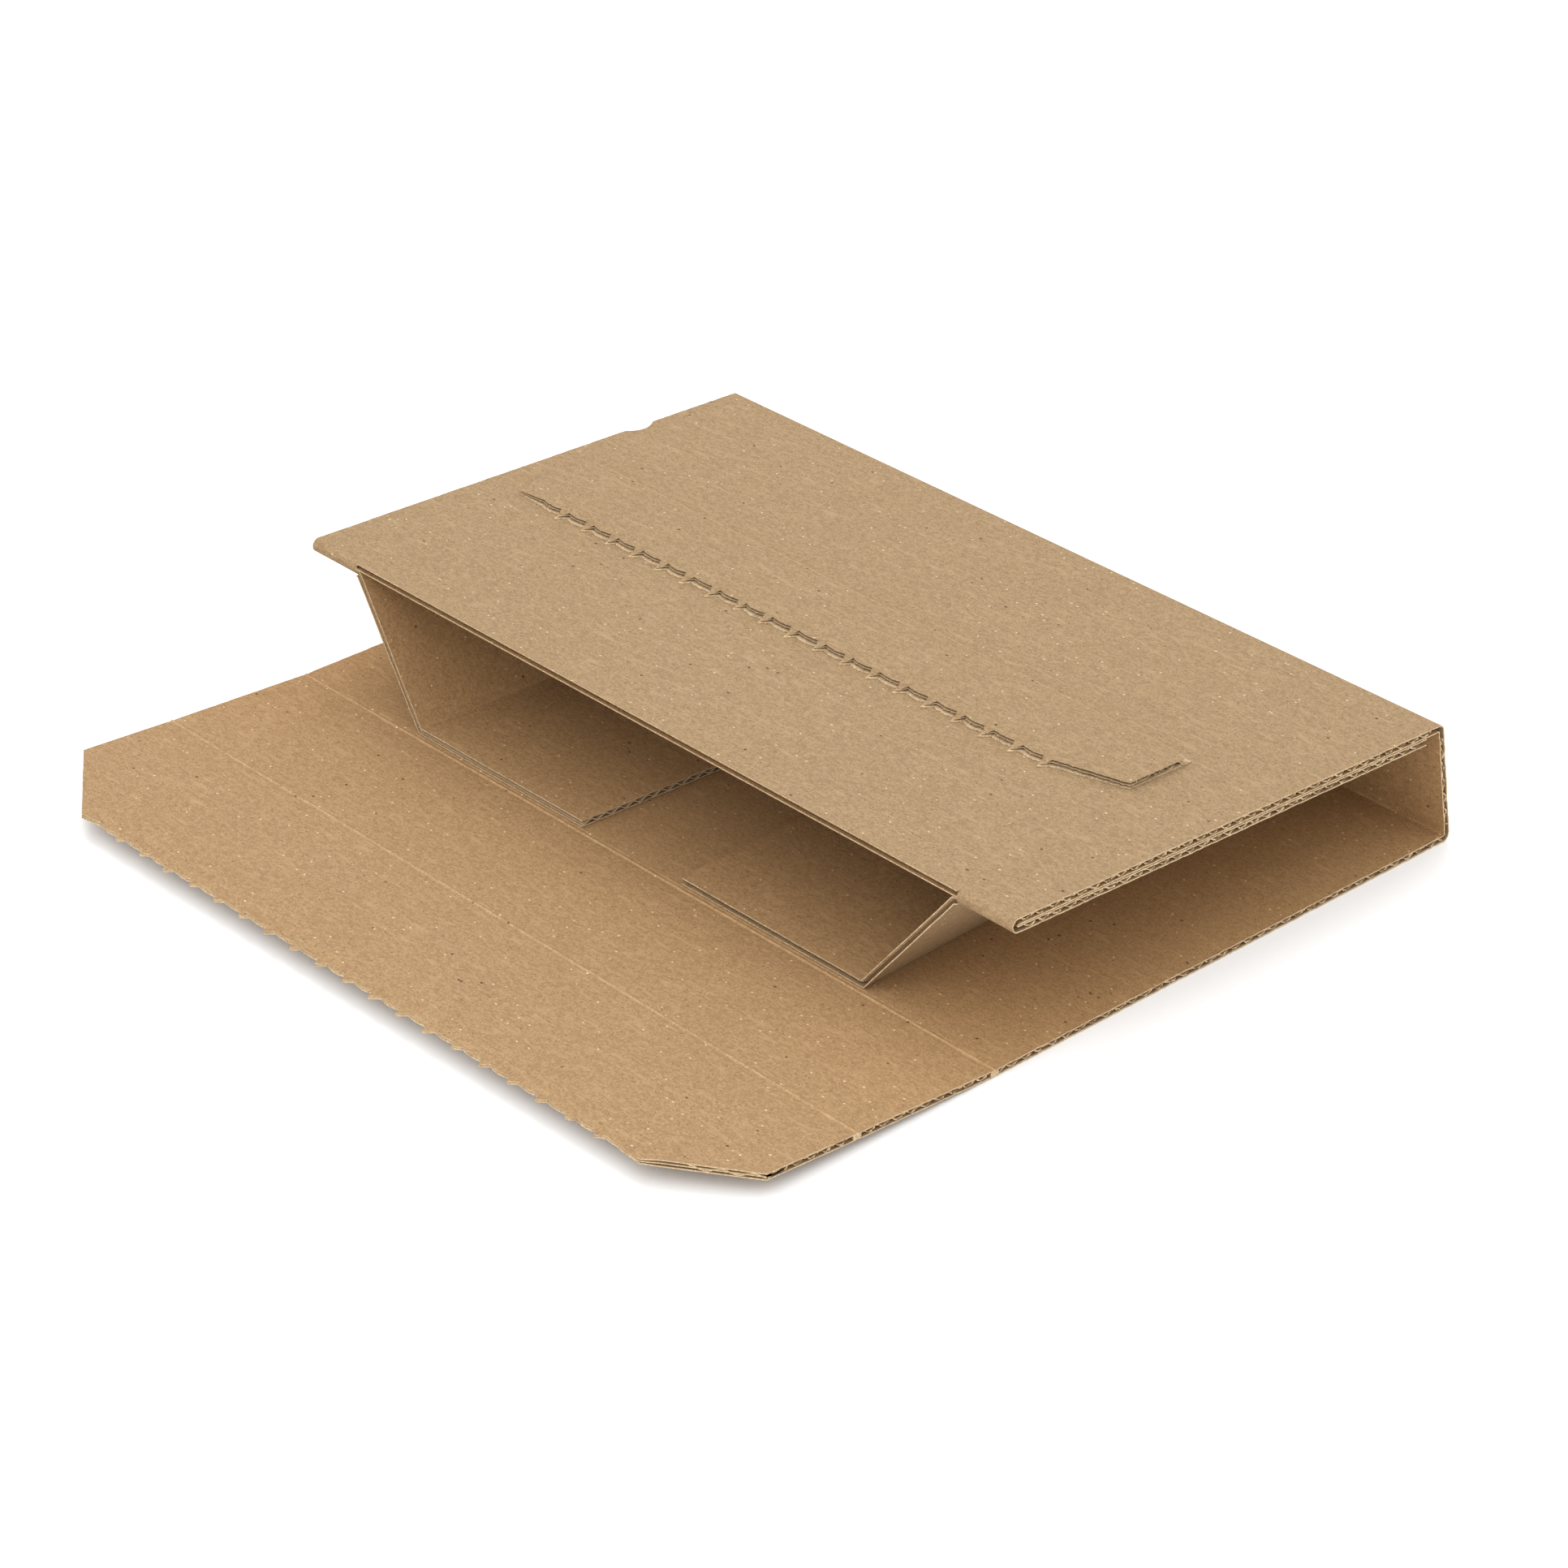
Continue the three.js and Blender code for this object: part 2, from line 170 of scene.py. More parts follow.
def applyModifiers(piece):
    activate(piece)
    for modifier in list(piece.modifiers):
        bpy.ops.object.modifier_apply(modifier=modifier.name)


def seatPiece(piece, place, turnY=0.0):
    # moves a piece drawn round its own origin to its seat, and leaves its object at the origin
    activate(piece)
    piece.rotation_euler = (0, turnY, 0)
    piece.location = place
    bpy.ops.object.transform_apply(location=True, rotation=True, scale=True)


def joinPieces(name, layers):
    deselectAll()
    for layer in layers:
        layer.select_set(True)
    bpy.context.view_layer.objects.active = layers[0]
    bpy.ops.object.join()
    layers[0].name = name
    layers[0].data.name = name
    pullInside(layers[0])
    smoothPiece(layers[0])
    return layers[0]


def smoothPiece(piece, degrees=40):
    activate(piece)
    bpy.ops.object.shade_smooth_by_angle(angle=math.radians(degrees))


def ragEnds(piece, seed):
    # small wander of the cut ends, as a die leaves them
    draw = random.Random(seed)
    size = board["rag"]
    for point in piece.data.vertices:
        if abs(point.co.y) > halfWidth - 0.00005:
            point.co.y += draw.uniform(-size, size)
            point.co.x += draw.uniform(-size, size) * 0.5


# Section lines in X and Z


def flat(x, z):
    return Vector((x, 0, z))


def leftOf(direction):
    return Vector((-direction.z, 0, direction.x))


def insetLine(corners, depth):
    # the same line moved inward, with mitred corners
    moved = []
    for place, corner in enumerate(corners):
        sides = []
        if place > 0:
            sides.append(leftOf((corner - corners[place - 1]).normalized()))
        if place < len(corners) - 1:
            sides.append(leftOf((corners[place + 1] - corner).normalized()))
        middle = (sides[0] + sides[-1]).normalized()
        moved.append(corner + middle * (depth / middle.dot(sides[0])))
    return moved


def turnPoint(place, centre, angle):
    arm = place - centre
    c, s = math.cos(angle), math.sin(angle)
    return centre + Vector((arm.x * c - arm.z * s, 0, arm.x * s + arm.z * c))


def arcLine(centre, start, angle, steps):
    return [turnPoint(start, centre, angle * i / steps) for i in range(steps + 1)]


def roundLine(corners, radius, steps=5):
    # corners replaced with arcs
    line = [corners[0]]
    for before, corner, after in zip(corners, corners[1:], corners[2:]):
        toBefore = (before - corner).normalized()
        toAfter = (after - corner).normalized()
        half = toBefore.angle(toAfter) / 2
        centre = corner + (toBefore + toAfter).normalized() * (radius / math.sin(half))
        start = corner + toBefore * (radius / math.tan(half))
        side = 1 if toBefore.z * toAfter.x - toBefore.x * toAfter.z > 0 else -1
        line += arcLine(centre, start, side * (math.pi - 2 * half), steps)
    line.append(corners[-1])
    return line


def spreadPoints(line, spacing):
    # extra points on the long straights, so that edges can wander there
    dense = [line[0]]
    for before, after in zip(line, line[1:]):
        parts = max(1, round((after - before).length / spacing))
        dense += [before.lerp(after, i / parts) for i in range(1, parts + 1)]
    return dense


joints = {joint["name"]: joint for joint in frame["joints"]}
wallCrease = Vector(joints["wall_crease"]["pos_m"])
flapCrease = Vector(joints["flap_crease"]["pos_m"])
sleeveLow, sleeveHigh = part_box("mailer_sleeve")
halfWidth = sleeveHigh.y

sleeve = {
    "backHeight": 0.0499,
    "backLean": 0.0083,
    "frontHeight": 0.0574,
    "frontReach": 0.2215,
    "cornerRadius": 0.0026,
    "pinchRadius": 0.0007,
    "endStrip": 0.026,  # width of the strips folded under at each end
    "stripBack": 0.0087,
    "cutGap": 0.0006,  # from the flutes' end to the front cut of the top
    "notchPlace": 0.0535,
    "notchLength": 0.015,
    "notchDepth": 0.0034,
}

backFoot = flat(-wallCrease.x, 0)
backHead = backFoot + flat(-sleeve["backLean"], sleeve["backHeight"])
topFront = backFoot + flat(-sleeve["frontReach"], sleeve["frontHeight"])
topLength = (topFront - backHead).length
topAlong = (topFront - backHead).normalized()
topInward = leftOf(topAlong)
topSlope = math.atan2(topAlong.z, -topAlong.x)
foldRadius = board["thickness"] + board["layerGap"] / 2
innerDepth = 2 * board["thickness"] + board["layerGap"]
baseFront = flat(wallCrease.x + board["creaseHalf"], 0)
stripEdgeY = halfWidth - sleeve["endStrip"]


def onTop(distance, depth):
    return backHead + topAlong * distance + topInward * depth


def topDistance(place):
    return (place - backHead).dot(topAlong)


def topDepth(place):
    return (place - backHead).dot(topInward)


# Shader maths


class Value:
    # a shader socket that can be used in sums

    def __init__(self, shop, socket):
        self.shop = shop
        self.socket = socket

    def combine(self, operation, first, second):
        return self.shop.node("ShaderNodeMath", {"operation": operation}, {0: first, 1: second})

    def __add__(self, other):
        return self.combine("ADD", self, other)

    def __radd__(self, other):
        return self.combine("ADD", other, self)

    def __sub__(self, other):
        return self.combine("SUBTRACT", self, other)

    def __rsub__(self, other):
        return self.combine("SUBTRACT", other, self)

    def __mul__(self, other):
        return self.combine("MULTIPLY", self, other)

    def __rmul__(self, other):
        return self.combine("MULTIPLY", other, self)

    def __gt__(self, other):
        return self.combine("GREATER_THAN", self, other)

    def __lt__(self, other):
        return self.combine("LESS_THAN", self, other)


class PaperShop:
    # builds one material

    def __init__(self, name):
        self.material = bpy.data.materials.new(name)
        self.material.use_nodes = True
        self.tree = self.material.node_tree
        self.tree.nodes.clear()

    def node(self, kind, settings=None, inputs=None, output=0):
        made = self.tree.nodes.new(kind)
        for key, value in (settings or {}).items():
            if key == "stops":
                for stop, (place, shade) in zip(made.color_ramp.elements, value):
                    stop.position = place
                    stop.color = (shade, shade, shade, 1)
            else:
                setattr(made, key, value)
        for key, value in (inputs or {}).items():
            if isinstance(value, Value):
                self.tree.links.new(value.socket, made.inputs[key])
            else:
                made.inputs[key].default_value = value
        return Value(self, made.outputs[output]) if made.outputs else None

    def place(self, stretch=(1, 1, 1), shift=(0, 0, 0)):
        spot = self.node("ShaderNodeTexCoord", output="Object")
        inputs = {"Vector": spot, "Location": shift, "Scale": stretch}
        return self.node("ShaderNodeMapping", {}, inputs)

    def noise(self, scale, detail=3.0, stretch=(1, 1, 1), shift=(0, 0, 0)):
        spot = self.place(stretch, shift)
        inputs = {"Vector": spot, "Scale": scale, "Detail": detail, "Roughness": 0.6}
        return self.node("ShaderNodeTexNoise", {}, inputs)

    def ramp(self, value, low, high):
        stops = [(low, 0.0), (high, 1.0)]
        return self.node("ShaderNodeValToRGB", {"stops": stops}, {"Fac": value})

    def mix(self, share, first, second, blend="MIX"):
        settings = {"data_type": "RGBA", "blend_type": blend}
        return self.node("ShaderNodeMix", settings, {0: share, 6: first, 7: second}, 2)

    def specks(self, perMetre, radius, share, stretch, shift):
        # round flecks: cells whose own random value passes, near their middle
        spot = self.place(stretch, shift)
        inputs = {"Vector": spot, "Scale": perMetre, "Randomness": 1.0}
        distance = self.node("ShaderNodeTexVoronoi", {}, inputs, "Distance")
        colour = self.node("ShaderNodeTexVoronoi", {}, inputs, "Color")
        chance = self.node("ShaderNodeSeparateColor", {}, {"Color": colour})
        near = self.ramp(distance * (1 / (radius * perMetre)), 0.6, 1.0)
        return (1 - near) * (chance < share)

    def finish(self, colour, roughness, bump, strength, reach):
        lift = {"Strength": strength, "Distance": reach, "Height": bump}
        normal = self.node("ShaderNodeBump", {}, lift)
        inputs = {
            "Base Color": colour,
            "Roughness": roughness,
            "Specular IOR Level": 0.25,
            "Normal": normal,
        }
        shader = self.node("ShaderNodeBsdfPrincipled", {}, inputs)
        self.node("ShaderNodeOutputMaterial", {}, {"Surface": shader})
        return self.material


kraft = {
    "face": (0.350, 0.237, 0.128, 1),
    "faceLight": (0.385, 0.266, 0.151, 1),
    "faceDark": (0.212, 0.134, 0.066, 1),
    "fleckDark": (0.045, 0.028, 0.016, 1),
    "fleckLight": (0.66, 0.54, 0.38, 1),
    "edge": (0.66, 0.50, 0.31, 1),
    "edgeDark": (0.30, 0.19, 0.095, 1),
    "fluting": (0.40, 0.28, 0.16, 1),
    "insideNearToneAndBounce": (1.15, 1.01, 0.84, 1),  # the inside liner's own warmer tone with painted warm bounced light, at the sleeve and at the flap
    "insideFarToneAndBounce": (1.10, 1.035, 0.97, 1),
    # painted highlight: paler multipliers for the upward faces of the score ridges and for the
    # strip's pressed far edge, at the sleeve and at the flap
    "creaseNearHighlight": (1.35, 1.22, 1.10, 1),
    "creaseFarHighlight": (1.30, 1.24, 1.2, 1),
}


def makeKraftFace(name, nearToneAndLight=(1, 1, 1, 1), farToneAndLight=(1, 1, 1, 1)):
    # the near multiplier on the sleeve, the far one on the closing flap, with a slow change between
    # them; on the inside liner and the crease ridges they carry painted warm bounced light and
    # painted highlight
    shop = PaperShop(name)
    fine = shop.noise(1500, 2, (1, 0.7, 1))
    grain = shop.noise(700, 3, (1, 0.5, 1), (1.9, 0.6, 2.3))
    cloud = shop.noise(60, 3, (1, 0.7, 1), (3.1, 1.7, 0.4))
    fibre = shop.noise(420, 5, (1, 0.2, 1), (0.7, 2.9, 1.3))
    colour = shop.mix(shop.ramp(cloud, 0.3, 0.7) * 0.35, kraft["face"], kraft["faceLight"])
    colour = shop.mix(shop.ramp(fine, 0.40, 0.62) * 0.62, colour, kraft["faceDark"])
    colour = shop.mix(shop.ramp(grain, 0.44, 0.62) * 0.46, colour, kraft["faceDark"])
    colour = shop.mix(shop.ramp(fibre, 0.56, 0.68) * 0.62, colour, kraft["faceLight"])
    small = shop.specks(560, 0.00036, 0.34, (1, 0.8, 1), (0.11, 0.05, 0.02))
    large = shop.specks(210, 0.00062, 0.15, (1, 0.75, 1), (0.31, 0.17, 0.09))
    pale = shop.specks(400, 0.00042, 0.20, (1, 0.7, 1), (0.53, 0.29, 0.41))
    colour = shop.mix(small * 0.50, colour, kraft["fleckDark"])
    colour = shop.mix(large * 0.82, colour, kraft["fleckDark"])
    colour = shop.mix(pale * 0.75, colour, kraft["fleckLight"])
    spot = shop.node("ShaderNodeTexCoord", output="Object")
    across = shop.node("ShaderNodeSeparateXYZ", {}, {"Vector": spot})
    # painted light: the colour is multiplied by the near and far multipliers, which brighten and
    # warm it where bounced light or a highlight is painted
    toneAndLight = shop.mix(shop.ramp(across * -5.0, 0.45, 1.0), nearToneAndLight, farToneAndLight)
    colour = shop.mix(1.0, colour, toneAndLight, "MULTIPLY")
    rough = 0.80 + fine * 0.16
    height = fine * 0.3 + grain * 0.3 + fibre * 0.4
    return shop.finish(colour, rough, height, 0.6, 0.0003)


def makeCutEdge(name):
    shop = PaperShop(name)
    fibre = shop.noise(1300, 5, (1, 1, 1), (1.3, 0.2, 2.2))
    patch = shop.noise(240, 3, (1, 1, 1), (0.2, 3.3, 1.1))
    colour = shop.mix(shop.ramp(fibre, 0.35, 0.68), kraft["edge"], kraft["face"])
    colour = shop.mix(shop.ramp(patch, 0.52, 0.70) * 0.45, colour, kraft["edgeDark"])
    return shop.finish(colour, 0.9 + patch * 0.08, fibre + patch, 0.6, 0.0004)


def makeFluting(name):
    shop = PaperShop(name)
    fibre = shop.noise(900, 4, (1, 0.3, 1), (0.9, 1.2, 3.1))
    patch = shop.noise(160, 3, (1, 1, 1), (2.2, 0.3, 0.1))
    colour = shop.mix(shop.ramp(fibre, 0.35, 0.7), kraft["fluting"], kraft["face"])
    colour = shop.mix(shop.ramp(patch, 0.5, 0.7) * 0.3, colour, kraft["edgeDark"])
    return shop.finish(colour, 0.88 + fibre * 0.1, fibre, 0.4, 0.0003)


faceMaterial = makeKraftFace("kraftFace")
# inside liner: its own warmer tone plus painted warm bounced light; crease material: painted
# highlight on the score ridges and the pressed edge
insideToneAndBounceMaterial = makeKraftFace("kraftInsideToneAndBounce", kraft["insideNearToneAndBounce"], kraft["insideFarToneAndBounce"])
creaseHighlightMaterial = makeKraftFace("kraftCreaseHighlight", kraft["creaseNearHighlight"], kraft["creaseFarHighlight"])
edgeMaterial = makeCutEdge("kraftCutEdge")
flutingMaterial = makeFluting("kraftFluting")
faceSheets = [faceMaterial, edgeMaterial]
insideToneAndBounceSheets = [insideToneAndBounceMaterial, edgeMaterial]
creaseHighlightSheets = [insideToneAndBounceMaterial, edgeMaterial, creaseHighlightMaterial]
tornSheets = [edgeMaterial, edgeMaterial]
flutingSheets = [flutingMaterial, edgeMaterial]
print("materials made")


# Fluting: one wave modelled once, then repeated

waveHeight = (board["thickness"] - 2 * board["liner"] - board["fluting"]) / 2


def repeatWave(piece, count):
    array = piece.modifiers.new("flutes", "ARRAY")
    array.count = count
    array.use_relative_offset = False
    array.use_constant_offset = True
    array.constant_offset_displace = (board["pitch"], 0, 0)
    array.use_merge_vertices = True
    array.merge_threshold = 1e-5
    applyModifiers(piece)


def makeFlutes(name, length, width, place, turnY, cuts=()):
    # waves along X, straight along Y, centred on the plane Z = 0 of the panel
    count = int(length / board["pitch"])
    slack = (length - count * board["pitch"]) / 2
    steps = 10
    wave = [
        flat(slack + board["pitch"] * i / steps, -waveHeight * math.cos(2 * math.pi * i / steps))
        for i in range(steps + 1)
    ]
    side = Vector((0, width / 2, 0))
    piece = newPiece(name, [wave[0] - side, wave[0] + side])
    extrudeAlong(wave)
    for y in (-width / 2 + board["fluteBand"], width / 2 - board["fluteBand"]):
        cutAcross(piece, (0, y, 0), (0, 1, 0))
    bpy.ops.object.mode_set(mode="OBJECT")
    repeatWave(piece, count)
    if cuts:
        bpy.ops.object.mode_set(mode="EDIT")
        for cutPlace, cutNormal in cuts:
            cutAcross(piece, cutPlace, cutNormal, True)
    finishSheet(piece, board["fluting"], flutingSheets)
    draw = random.Random(name)
    frayX, frayY, frayZ = board["fluteFray"]
    for point in piece.data.vertices:
        if abs(point.co.y) > width / 2 - 0.0002:
            point.co.y -= math.copysign(draw.uniform(0, frayY), point.co.y)
            point.co.z += draw.uniform(-frayZ, frayZ)
            point.co.x += draw.uniform(-frayX, frayX)
    seatPiece(piece, place, turnY)
    return piece


def panelTurn(along):
    return math.atan2(-along.z, along.x)


# Sleeve: base, back wall, top, and at both ends the board turned back under the top


def sleeveLine(depth, radius, foldAt):
    corners = [baseFront, backFoot, backHead, onTop(topLength - foldRadius, 0)]
    line = roundLine(insetLine(corners, depth), radius)
    centre = onTop(topLength - foldRadius, foldRadius)
    start = onTop(topLength - foldRadius, depth)
    line += arcLine(centre, start, math.pi, foldAt)[1:]
    line.append(onTop(sleeve["stripBack"], innerDepth - depth))
    return spreadPoints(line, board["pointEvery"])


def isTurnedUnder(place):
    slack = 0.0005
    past = topDistance(place) > topLength - foldRadius + 1e-6
    under = topDepth(place) > board["thickness"]
    near = topDepth(place) < innerDepth + slack
    return near and (past or (under and topDistance(place) > sleeve["stripBack"] - slack))


def makeSleeveLiner(name, depth, radius, foldSteps, materials):
    line = sleeveLine(depth, radius, foldSteps)
    side = Vector((0, halfWidth, 0))
    piece = newPiece(name, [line[0] - side, line[0] + side])
    extrudeAlong(line)
    endY, midY = halfWidth - board["endBand"], board["midCut"]
    for y in (-endY, -stripEdgeY, -midY, midY, stripEdgeY, endY):
        cutAcross(piece, (0, y, 0), (0, 1, 0))
    # between the two end strips the top ends in a plain cut
    pickFaces(
        piece,
        lambda place: abs(place.y) < stripEdgeY and isTurnedUnder(flat(place.x, place.z)),
    )
    bpy.ops.mesh.delete(type="FACE")
    bpy.ops.mesh.select_mode(type="VERT")
    cutStart = onTop(topLength - foldRadius, depth)
    pick(
        piece,
        lambda place: abs(place.y) < stripEdgeY + 1e-5
        and (flat(place.x, place.z) - cutStart).length < 1e-5,
    )
    bpy.ops.mesh.select_mode(type="EDGE")
    bpy.ops.mesh.extrude_region_move(TRANSFORM_OT_translate={"value": topAlong * foldRadius})
    bpy.ops.mesh.select_mode(type="VERT")
    bpy.ops.object.mode_set(mode="OBJECT")
    ragEnds(piece, name)
    finishSheet(piece, board["liner"], materials)
    return piece


def pullInside(piece):
    # nothing stands past the board's own ends
    for point in piece.data.vertices:
        point.co.y = max(-halfWidth, min(halfWidth, point.co.y))
        point.co.x = min(sleeveHigh.x, point.co.x)
        point.co.z = max(0, point.co.z)


def makeNotchDie():
    # a shallow scoop for the thumb, cut through both layers at the +Y end
    half = sleeve["notchLength"] / 2
    dieFoot, dieHeight = 0.03, 0.04
    outside = halfWidth + 0.004
    lead = half + 0.002
    steps = 8
    outline = [Vector((sleeve["notchPlace"] - lead, outside, dieFoot))]
    for i in range(steps + 1):
        share = i / steps
        x = sleeve["notchPlace"] + half * (2 * share - 1)
        y = halfWidth + 0.0003 - sleeve["notchDepth"] * math.sin(math.pi * share) ** 0.8
        outline.append(Vector((x, y, dieFoot)))
    outline.append(Vector((sleeve["notchPlace"] + lead, outside, dieFoot)))
    die = newPiece("notchDie", [outline[0]])
    drawLine(outline)
    bpy.ops.mesh.select_all(action="SELECT")
    bpy.ops.mesh.edge_face_add()
    bpy.ops.mesh.extrude_region_move(TRANSFORM_OT_translate={"value": (0, 0, dieHeight)})
    bpy.ops.mesh.select_all(action="SELECT")
    bpy.ops.mesh.normals_make_consistent(inside=False)
    bpy.ops.object.mode_set(mode="OBJECT")
    return die


def cutWith(piece, die):
    cut = piece.modifiers.new("die", "BOOLEAN")
    cut.operation = "DIFFERENCE"
    cut.solver = "EXACT"
    cut.object = die
    applyModifiers(piece)


def makeSleeve():
    crush = board["crush"]
    mid = board["thickness"] / 2
    linerMid = board["liner"] / 2
    innerLevel = board["thickness"] - linerMid
    outer = makeSleeveLiner("sleeveOuter", linerMid, sleeve["cornerRadius"], 12, faceSheets)
    inner = makeSleeveLiner("sleeveInner", innerLevel, sleeve["pinchRadius"], 6, insideToneAndBounceSheets)
    width = 2 * halfWidth
    backAlong = (backHead - backFoot).normalized()
    backLength = (backHead - backFoot).length
    baseLength = (backFoot - baseFront).length
    base = makeFlutes("baseFlutes", baseLength - crush, width, baseFront + flat(0, mid), 0.0)
    back = makeFlutes(
        "backFlutes",
        backLength - 2 * crush,
        width,
        backFoot + backAlong * crush + leftOf(backAlong) * mid,
        panelTurn(backAlong),
    )
    top = makeFlutes(
        "topFlutes",
        topLength - crush - sleeve["cutGap"],
        width,
        onTop(crush, mid),
        panelTurn(topAlong),
        [((topLength - crush - foldRadius, 0, 0), (1, 0, 0))],
    )
    layers = [outer, inner, base, back, top]
    for side in (-1, 1):
        layers.append(
            makeFlutes(
                f"stripFlutes{side}",
                topLength - foldRadius - sleeve["stripBack"],
                sleeve["endStrip"],
                onTop(sleeve["stripBack"], innerDepth - mid)
                + Vector((0, side * (halfWidth - sleeve["endStrip"] / 2), 0)),
                panelTurn(topAlong),
            )
        )
    die = makeNotchDie()
    for layer in (outer, inner, top, layers[-1]):
        cutWith(layer, die)
    bpy.data.objects.remove(die)
    piece = joinPieces("sleeve_board", layers)
    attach(piece, "sleeve")
    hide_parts("mailer_sleeve")


# Wings: the pocket's slanted walls, cut free from the turned-under board and let down


wings = {
    "creaseIn": 0.0275,  # from the sleeve's end to the crease at a wing's head
    "wall": 0.062,
    "floor": 0.092,
    "footFront": -0.1119,
    "footBack": 0.1055,
    "bendRadius": 0.0016,
    "pointEvery": 0.008,
    "frontPoints": 40,
}


def wingFeet(x):
    # where a wing's middle surface stands at a distance along X: head height and foot place
    mid = board["thickness"] / 2
    start = onTop(0, innerDepth - mid)
    head = start.z + (x - start.x) * topAlong.z / topAlong.x
    floor = board["thickness"] + board["layerGap"] + mid
    rise = head - floor
    run = math.sqrt(wings["wall"] ** 2 - rise**2)
    return head, floor, run


def wingLine(offset, side):
    # front section, in Y (kept as X here) and Z, at an offset towards the pocket
    head, floor, run = wingFeet(topFront.x)
    creaseY = halfWidth - wings["creaseIn"]
    corners = [
        flat(stripEdgeY, head),
        flat(creaseY, head),
        flat(creaseY - run, floor),
        flat(creaseY - run - wings["floor"], floor),
    ]
    # walking inward, the pocket is on the left of the way back, so the sign is turned
    line = roundLine(insetLine(corners, -offset), wings["bendRadius"])
    return [Vector((0, side * p.x, p.z)) for p in spreadPoints(line, wings["pointEvery"])]


def settleWing(piece, side):
    # the top falls towards the back wall, so a wing's foot runs inward there
    frontHead, floor, frontRun = wingFeet(topFront.x)
    frontX = topFront.x
    for point in piece.data.vertices:
        head, floor, run = wingFeet(point.co.x)
        up = min(1.0, max(0.0, (point.co.z - floor) / (frontHead - floor)))
        back = (point.co.x - frontX) / (wings["footBack"] - frontX)
        point.co.z += up * (head - frontHead)
        point.co.y -= side * (1 - up) * (run - frontRun)
        lean = (wings["footFront"] - frontX) * (1 - up)
        point.co.x += lean * max(0.0, 1 - back)


def makeWingLiner(name, offset, side, materials):
    line = wingLine(offset, side)
    first = Vector((topFront.x, 0, 0))
    last = Vector((wings["footBack"], 0, 0))
    piece = newPiece(name, [line[0] + first, line[0] + last])
    bpy.ops.mesh.subdivide(number_cuts=wings["frontPoints"])
    extrudeAlong(line)
    bpy.ops.object.mode_set(mode="OBJECT")
    draw = random.Random(name)
    endY = min(abs(p.co.y) for p in piece.data.vertices)
    for point in piece.data.vertices:
        if abs(point.co.y) < endY + 1e-6 or point.co.x < topFront.x + 1e-6:
            point.co.x += draw.uniform(0, 0.00018)
            point.co.y += side * draw.uniform(0, 0.0002)
    finishSheet(piece, board["liner"], materials)
    settleWing(piece, side)
    return piece


def makeWingFlutes(name, side):
    # the flutes run down the wing, so the wave is along X
    line = wingLine(0.0, side)
    steps = 8
    count = int((wings["footBack"] - topFront.x) / board["pitch"]) - 1
    start = topFront.x + 0.0008
    first = line[0] + Vector((start, 0, 0))
    piece = newPiece(name, [first, first + Vector((board["pitch"], 0, 0))])
    bpy.ops.mesh.subdivide(number_cuts=steps - 1)
    extrudeAlong(line)
    bpy.ops.object.mode_set(mode="OBJECT")
    ways = []
    for i in range(len(line)):
        before, after = line[max(0, i - 1)], line[min(len(line) - 1, i + 1)]
        way = (after - before).normalized()
        ways.append(Vector((0, -way.z, way.y)))
    for point in piece.data.vertices:
        spot = Vector((0, point.co.y, point.co.z))
        near = min(range(len(line)), key=lambda i: (line[i] - spot).length)
        phase = 2 * math.pi * (point.co.x - start) / board["pitch"]
        point.co += ways[near] * (waveHeight * math.cos(phase))
    repeatWave(piece, count)
    finishSheet(piece, board["fluting"], flutingSheets)
    settleWing(piece, side)
    return piece


def makeWing(name, side):
    reach = board["thickness"] / 2 - board["liner"] / 2
    layers = [
        makeWingLiner(name + "Pocket", reach, side, insideToneAndBounceSheets),
        makeWingLiner(name + "Outer", -reach, side, faceSheets),
        makeWingFlutes(name + "Flutes", side),
    ]
    piece = joinPieces(name, layers)
    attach(piece, "sleeve")
    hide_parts("mailer_sleeve")


# Torn edges

tear = {
    "pitch": 0.0142,
    "tip": 0.0029,
    "tipRun": 0.0015,
    "tipBack": 0.0029,
    "bulge": 0.0007,
    "tips": 19,
}


def tornLine(fromY, tips, shape, layer, wander):
    # (Y, how far the edge stands out, 1 at a tip) from the +Y end to the -Y end;
    # the layers of one board share its teeth, and each wanders a little by itself
    draw = random.Random(shape)
    fray = random.Random(shape + layer)
    run, back = tear["tipRun"], tear["tipBack"]
    cutLength = tear["pitch"] - run - back
    steps = 11
    marks = []
    for i in range(tips):
        start = fromY - i * tear["pitch"] + draw.uniform(-0.0002, 0.0002)
        tall = tear["bulge"] * draw.uniform(0.7, 1.35)
        for j in range(steps + 1):
            share = j / steps
            out = tall * math.sin(math.pi * share) + fray.uniform(-wander, wander)
            marks.append((start - cutLength * share, out, 0.0))
        reach = tear["tip"] * draw.uniform(0.8, 1.12)
        peak = start - cutLength - run
        for share, out in ((0.3, 0.22), (0.65, 0.58), (0.9, 0.93)):
            y = peak + run * (1 - share)
            marks.append((y, reach * out + fray.uniform(-wander, wander), out))
        marks.append((peak, reach + fray.uniform(-wander, wander), 1.0))
        for share, out in ((0.25, 0.85), (0.5, 0.55)):
            marks.append((peak - back * share, reach * out + fray.uniform(-wander, wander), out))
    return marks


